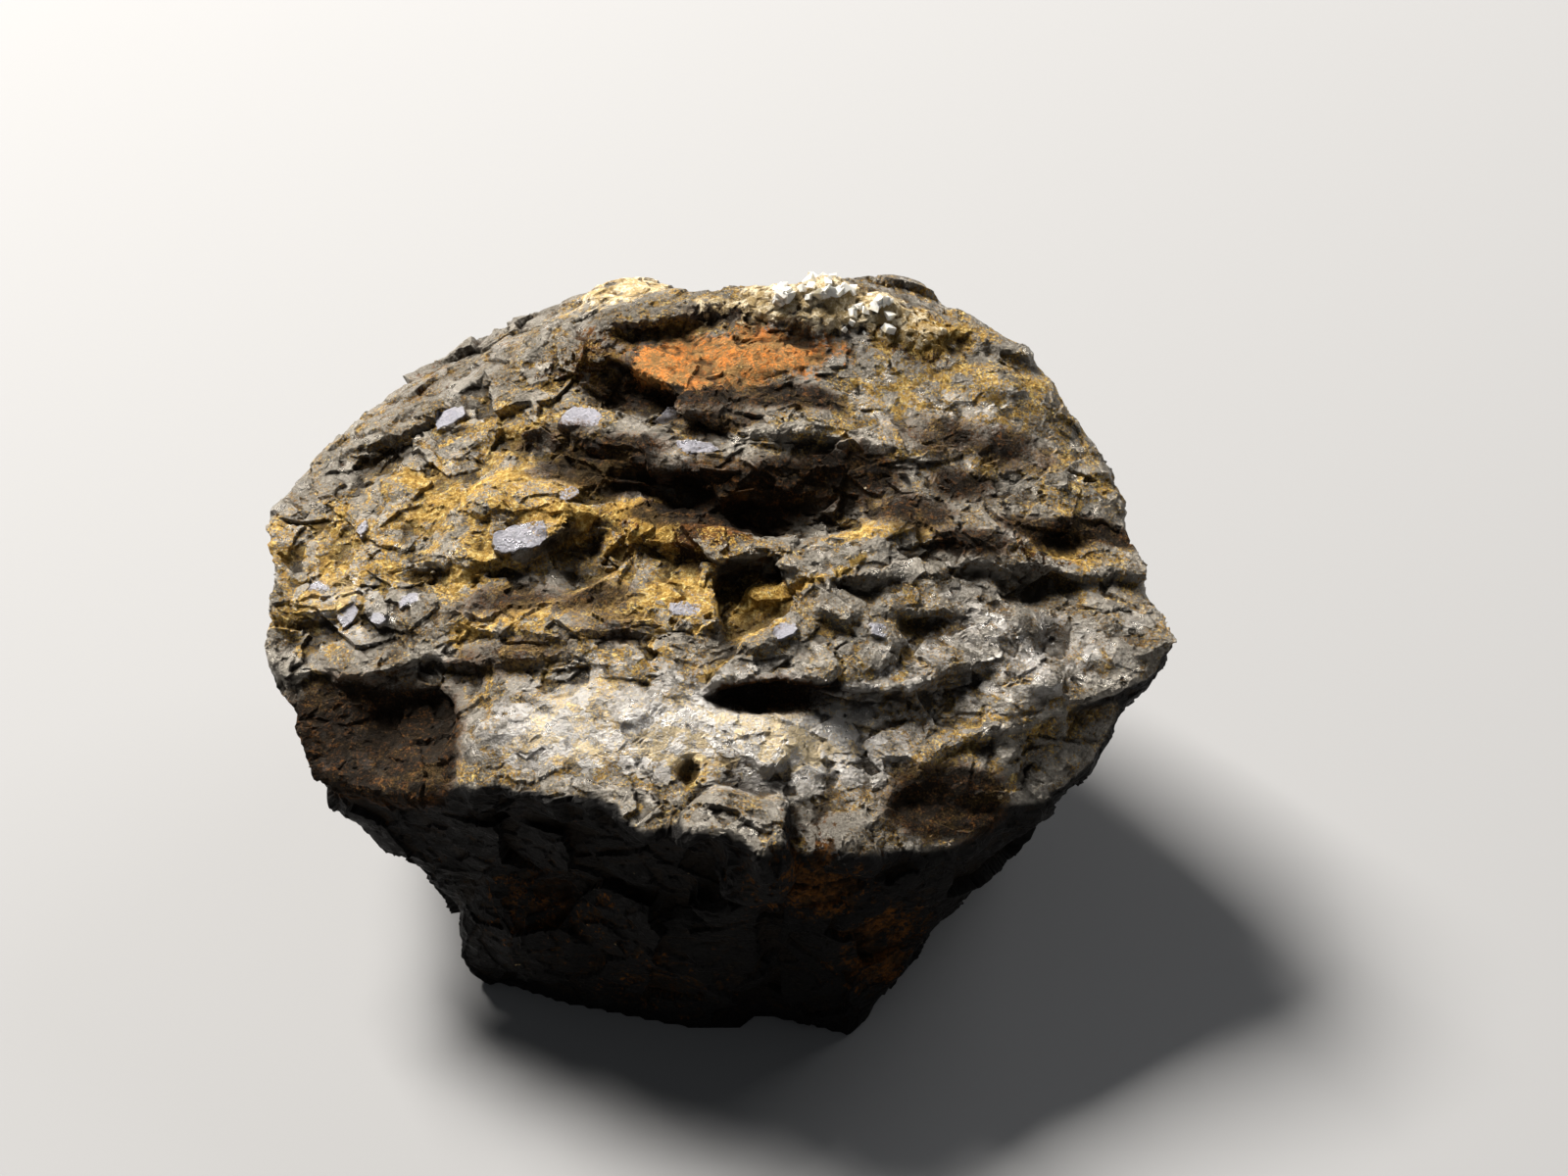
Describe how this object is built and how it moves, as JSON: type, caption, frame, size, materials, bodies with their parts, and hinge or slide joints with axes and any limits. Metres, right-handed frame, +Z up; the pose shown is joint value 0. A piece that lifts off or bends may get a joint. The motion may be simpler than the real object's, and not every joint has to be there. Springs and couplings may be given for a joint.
{
  "type": "magnetite specimen",
  "caption": "Broken lump of foliated magnetite with arched, ledged crystal sheets, iron-oxide stains and pale quartz at the crest, resting on a flat underside.",
  "frame": {"origin": "middle of the bounding box, at the flat underside", "axes": "+X along the stone's length, -Y towards the low front rim of its broken top, +Z up"},
  "size_m": [0.0582, 0.0436, 0.0335],
  "materials": {
    "magnetite": "satin"
  },
  "bodies": {
    "root": {"magnetite_stone": "magnetite"}
  },
  "joints": []
}
